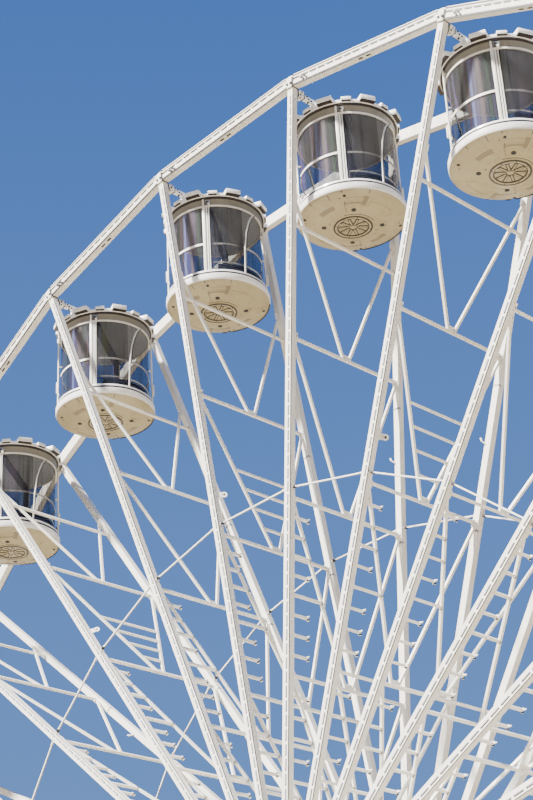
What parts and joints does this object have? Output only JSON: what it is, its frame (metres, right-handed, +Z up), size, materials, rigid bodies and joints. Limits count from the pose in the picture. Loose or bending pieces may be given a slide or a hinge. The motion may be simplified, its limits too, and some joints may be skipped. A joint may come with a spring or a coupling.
{
  "type": "ferris wheel",
  "caption": "Tall fairground observation wheel on two towers, with round glazed cabins that hang level between its twin rims.",
  "frame": {"origin": "on the ground, under the middle of the base and of the axle", "axes": "+Z up, +Y along the axle from the front of the wheel to its back, +X in the wheel's plane"},
  "size_m": [31.1746, 12.2, 33.0527],
  "materials": {
    "white_steel": "semi-gloss white paint",
    "hub_steel": "semi-gloss white paint",
    "base_steel": "worn light grey paint",
    "deck_plate": "ribbed non-slip plate",
    "cabin_shell": "satin gel coat",
    "cabin_glass": "smoked curved glazing",
    "dark_rubber": "matt seal",
    "galvanised": "dull galvanised",
    "seat_vinyl": "dark seat covering",
    "light_strip": "clear light diffusers"
  },
  "bodies": {
    "base": {"base_frame": "base_steel", "boarding_deck": "deck_plate", "front_tower": "white_steel", "back_tower": "white_steel"},
    "wheel": {"hub": "hub_steel", "front_rim": "white_steel", "back_rim": "white_steel", "spoke_frame_01": "white_steel", "spoke_frame_02": "white_steel", "spoke_frame_03": "white_steel", "spoke_frame_04": "white_steel", "spoke_frame_05": "white_steel", "spoke_frame_06": "white_steel", "spoke_frame_07": "white_steel", "spoke_frame_08": "white_steel", "spoke_frame_09": "white_steel", "spoke_frame_10": "white_steel", "spoke_frame_11": "white_steel", "spoke_frame_12": "white_steel", "spoke_frame_13": "white_steel", "spoke_frame_14": "white_steel", "spoke_frame_15": "white_steel", "spoke_frame_16": "white_steel", "spoke_frame_17": "white_steel", "spoke_frame_18": "white_steel", "spoke_frame_19": "white_steel", "spoke_frame_20": "white_steel", "spoke_frame_21": "white_steel", "spoke_frame_22": "white_steel", "spoke_frame_23": "white_steel", "spoke_frame_24": "white_steel", "spoke_frame_25": "white_steel", "spoke_frame_26": "white_steel"},
    "cabin_01_body": {"cabin_01": "cabin_shell"},
    "cabin_02_body": {"cabin_02": "cabin_shell"},
    "cabin_03_body": {"cabin_03": "cabin_shell"},
    "cabin_04_body": {"cabin_04": "cabin_shell"},
    "cabin_05_body": {"cabin_05": "cabin_shell"},
    "cabin_06_body": {"cabin_06": "cabin_shell"},
    "cabin_07_body": {"cabin_07": "cabin_shell"},
    "cabin_08_body": {"cabin_08": "cabin_shell"},
    "cabin_09_body": {"cabin_09": "cabin_shell"},
    "cabin_10_body": {"cabin_10": "cabin_shell"},
    "cabin_11_body": {"cabin_11": "cabin_shell"},
    "cabin_12_body": {"cabin_12": "cabin_shell"},
    "cabin_13_body": {"cabin_13": "cabin_shell"},
    "cabin_14_body": {"cabin_14": "cabin_shell"},
    "cabin_15_body": {"cabin_15": "cabin_shell"},
    "cabin_16_body": {"cabin_16": "cabin_shell"},
    "cabin_17_body": {"cabin_17": "cabin_shell"},
    "cabin_18_body": {"cabin_18": "cabin_shell"},
    "cabin_19_body": {"cabin_19": "cabin_shell"},
    "cabin_20_body": {"cabin_20": "cabin_shell"},
    "cabin_21_body": {"cabin_21": "cabin_shell"},
    "cabin_22_body": {"cabin_22": "cabin_shell"},
    "cabin_23_body": {"cabin_23": "cabin_shell"},
    "cabin_24_body": {"cabin_24": "cabin_shell"},
    "cabin_25_body": {"cabin_25": "cabin_shell"},
    "cabin_26_body": {"cabin_26": "cabin_shell"}
  },
  "joints": [
    {"name": "wheel_spin", "type": "hinge", "parent": "base", "child": "wheel", "pos_m": [0, 0, 18.2], "axis": [0, 1, 0], "continuous": true},
    {"name": "cabin_01_hinge", "type": "hinge", "parent": "wheel", "child": "cabin_01_body", "pos_m": [1.28947, 0, 32.76302], "axis": [0, 1, 0], "continuous": true},
    {"name": "cabin_02_hinge", "type": "hinge", "parent": "wheel", "child": "cabin_02_body", "pos_m": [4.73716, 0, 32.03126], "axis": [0, 1, 0], "continuous": true},
    {"name": "cabin_03_hinge", "type": "hinge", "parent": "wheel", "child": "cabin_03_body", "pos_m": [7.90954, 0, 30.49567], "axis": [0, 1, 0], "continuous": true},
    {"name": "cabin_04_hinge", "type": "hinge", "parent": "wheel", "child": "cabin_04_body", "pos_m": [10.62225, 0, 28.24551], "axis": [0, 1, 0], "continuous": true},
    {"name": "cabin_05_hinge", "type": "hinge", "parent": "wheel", "child": "cabin_05_body", "pos_m": [12.71763, 0, 25.41153], "axis": [0, 1, 0], "continuous": true},
    {"name": "cabin_06_hinge", "type": "hinge", "parent": "wheel", "child": "cabin_06_body", "pos_m": [14.07392, 0, 22.15845], "axis": [0, 1, 0], "continuous": true},
    {"name": "cabin_07_hinge", "type": "hinge", "parent": "wheel", "child": "cabin_07_body", "pos_m": [14.61227, 0, 18.67531], "axis": [0, 1, 0], "continuous": true},
    {"name": "cabin_08_hinge", "type": "hinge", "parent": "wheel", "child": "cabin_08_body", "pos_m": [14.30142, 0, 15.16456], "axis": [0, 1, 0], "continuous": true},
    {"name": "cabin_09_hinge", "type": "hinge", "parent": "wheel", "child": "cabin_09_body", "pos_m": [13.15941, 0, 11.83021], "axis": [0, 1, 0], "continuous": true},
    {"name": "cabin_10_hinge", "type": "hinge", "parent": "wheel", "child": "cabin_10_body", "pos_m": [11.25263, 0, 8.86605], "axis": [0, 1, 0], "continuous": true},
    {"name": "cabin_11_hinge", "type": "hinge", "parent": "wheel", "child": "cabin_11_body", "pos_m": [8.69189, 0, 6.44434], "axis": [0, 1, 0], "continuous": true},
    {"name": "cabin_12_hinge", "type": "hinge", "parent": "wheel", "child": "cabin_12_body", "pos_m": [5.62601, 0, 4.70584], "axis": [0, 1, 0], "continuous": true},
    {"name": "cabin_13_hinge", "type": "hinge", "parent": "wheel", "child": "cabin_13_body", "pos_m": [2.23316, 0, 3.75156], "axis": [0, 1, 0], "continuous": true},
    {"name": "cabin_14_hinge", "type": "hinge", "parent": "wheel", "child": "cabin_14_body", "pos_m": [-1.28947, 0, 3.63698], "axis": [0, 1, 0], "continuous": true},
    {"name": "cabin_15_hinge", "type": "hinge", "parent": "wheel", "child": "cabin_15_body", "pos_m": [-4.73716, 0, 4.36874], "axis": [0, 1, 0], "continuous": true},
    {"name": "cabin_16_hinge", "type": "hinge", "parent": "wheel", "child": "cabin_16_body", "pos_m": [-7.90954, 0, 5.90433], "axis": [0, 1, 0], "continuous": true},
    {"name": "cabin_17_hinge", "type": "hinge", "parent": "wheel", "child": "cabin_17_body", "pos_m": [-10.62225, 0, 8.1545], "axis": [0, 1, 0], "continuous": true},
    {"name": "cabin_18_hinge", "type": "hinge", "parent": "wheel", "child": "cabin_18_body", "pos_m": [-12.71763, 0, 10.98847], "axis": [0, 1, 0], "continuous": true},
    {"name": "cabin_19_hinge", "type": "hinge", "parent": "wheel", "child": "cabin_19_body", "pos_m": [-14.07392, 0, 14.24155], "axis": [0, 1, 0], "continuous": true},
    {"name": "cabin_20_hinge", "type": "hinge", "parent": "wheel", "child": "cabin_20_body", "pos_m": [-14.61227, 0, 17.72469], "axis": [0, 1, 0], "continuous": true},
    {"name": "cabin_21_hinge", "type": "hinge", "parent": "wheel", "child": "cabin_21_body", "pos_m": [-14.30142, 0, 21.23544], "axis": [0, 1, 0], "continuous": true},
    {"name": "cabin_22_hinge", "type": "hinge", "parent": "wheel", "child": "cabin_22_body", "pos_m": [-13.15941, 0, 24.56979], "axis": [0, 1, 0], "continuous": true},
    {"name": "cabin_23_hinge", "type": "hinge", "parent": "wheel", "child": "cabin_23_body", "pos_m": [-11.25263, 0, 27.53395], "axis": [0, 1, 0], "continuous": true},
    {"name": "cabin_24_hinge", "type": "hinge", "parent": "wheel", "child": "cabin_24_body", "pos_m": [-8.69189, 0, 29.95566], "axis": [0, 1, 0], "continuous": true},
    {"name": "cabin_25_hinge", "type": "hinge", "parent": "wheel", "child": "cabin_25_body", "pos_m": [-5.62601, 0, 31.69416], "axis": [0, 1, 0], "continuous": true},
    {"name": "cabin_26_hinge", "type": "hinge", "parent": "wheel", "child": "cabin_26_body", "pos_m": [-2.23316, 0, 32.64844], "axis": [0, 1, 0], "continuous": true}
  ],
  "couplings": [
    {"joint": "cabin_01_hinge", "follows": "wheel_spin", "ratio": -1},
    {"joint": "cabin_02_hinge", "follows": "wheel_spin", "ratio": -1},
    {"joint": "cabin_03_hinge", "follows": "wheel_spin", "ratio": -1},
    {"joint": "cabin_04_hinge", "follows": "wheel_spin", "ratio": -1},
    {"joint": "cabin_05_hinge", "follows": "wheel_spin", "ratio": -1},
    {"joint": "cabin_06_hinge", "follows": "wheel_spin", "ratio": -1},
    {"joint": "cabin_07_hinge", "follows": "wheel_spin", "ratio": -1},
    {"joint": "cabin_08_hinge", "follows": "wheel_spin", "ratio": -1},
    {"joint": "cabin_09_hinge", "follows": "wheel_spin", "ratio": -1},
    {"joint": "cabin_10_hinge", "follows": "wheel_spin", "ratio": -1},
    {"joint": "cabin_11_hinge", "follows": "wheel_spin", "ratio": -1},
    {"joint": "cabin_12_hinge", "follows": "wheel_spin", "ratio": -1},
    {"joint": "cabin_13_hinge", "follows": "wheel_spin", "ratio": -1},
    {"joint": "cabin_14_hinge", "follows": "wheel_spin", "ratio": -1},
    {"joint": "cabin_15_hinge", "follows": "wheel_spin", "ratio": -1},
    {"joint": "cabin_16_hinge", "follows": "wheel_spin", "ratio": -1},
    {"joint": "cabin_17_hinge", "follows": "wheel_spin", "ratio": -1},
    {"joint": "cabin_18_hinge", "follows": "wheel_spin", "ratio": -1},
    {"joint": "cabin_19_hinge", "follows": "wheel_spin", "ratio": -1},
    {"joint": "cabin_20_hinge", "follows": "wheel_spin", "ratio": -1},
    {"joint": "cabin_21_hinge", "follows": "wheel_spin", "ratio": -1},
    {"joint": "cabin_22_hinge", "follows": "wheel_spin", "ratio": -1},
    {"joint": "cabin_23_hinge", "follows": "wheel_spin", "ratio": -1},
    {"joint": "cabin_24_hinge", "follows": "wheel_spin", "ratio": -1},
    {"joint": "cabin_25_hinge", "follows": "wheel_spin", "ratio": -1},
    {"joint": "cabin_26_hinge", "follows": "wheel_spin", "ratio": -1}
  ]
}
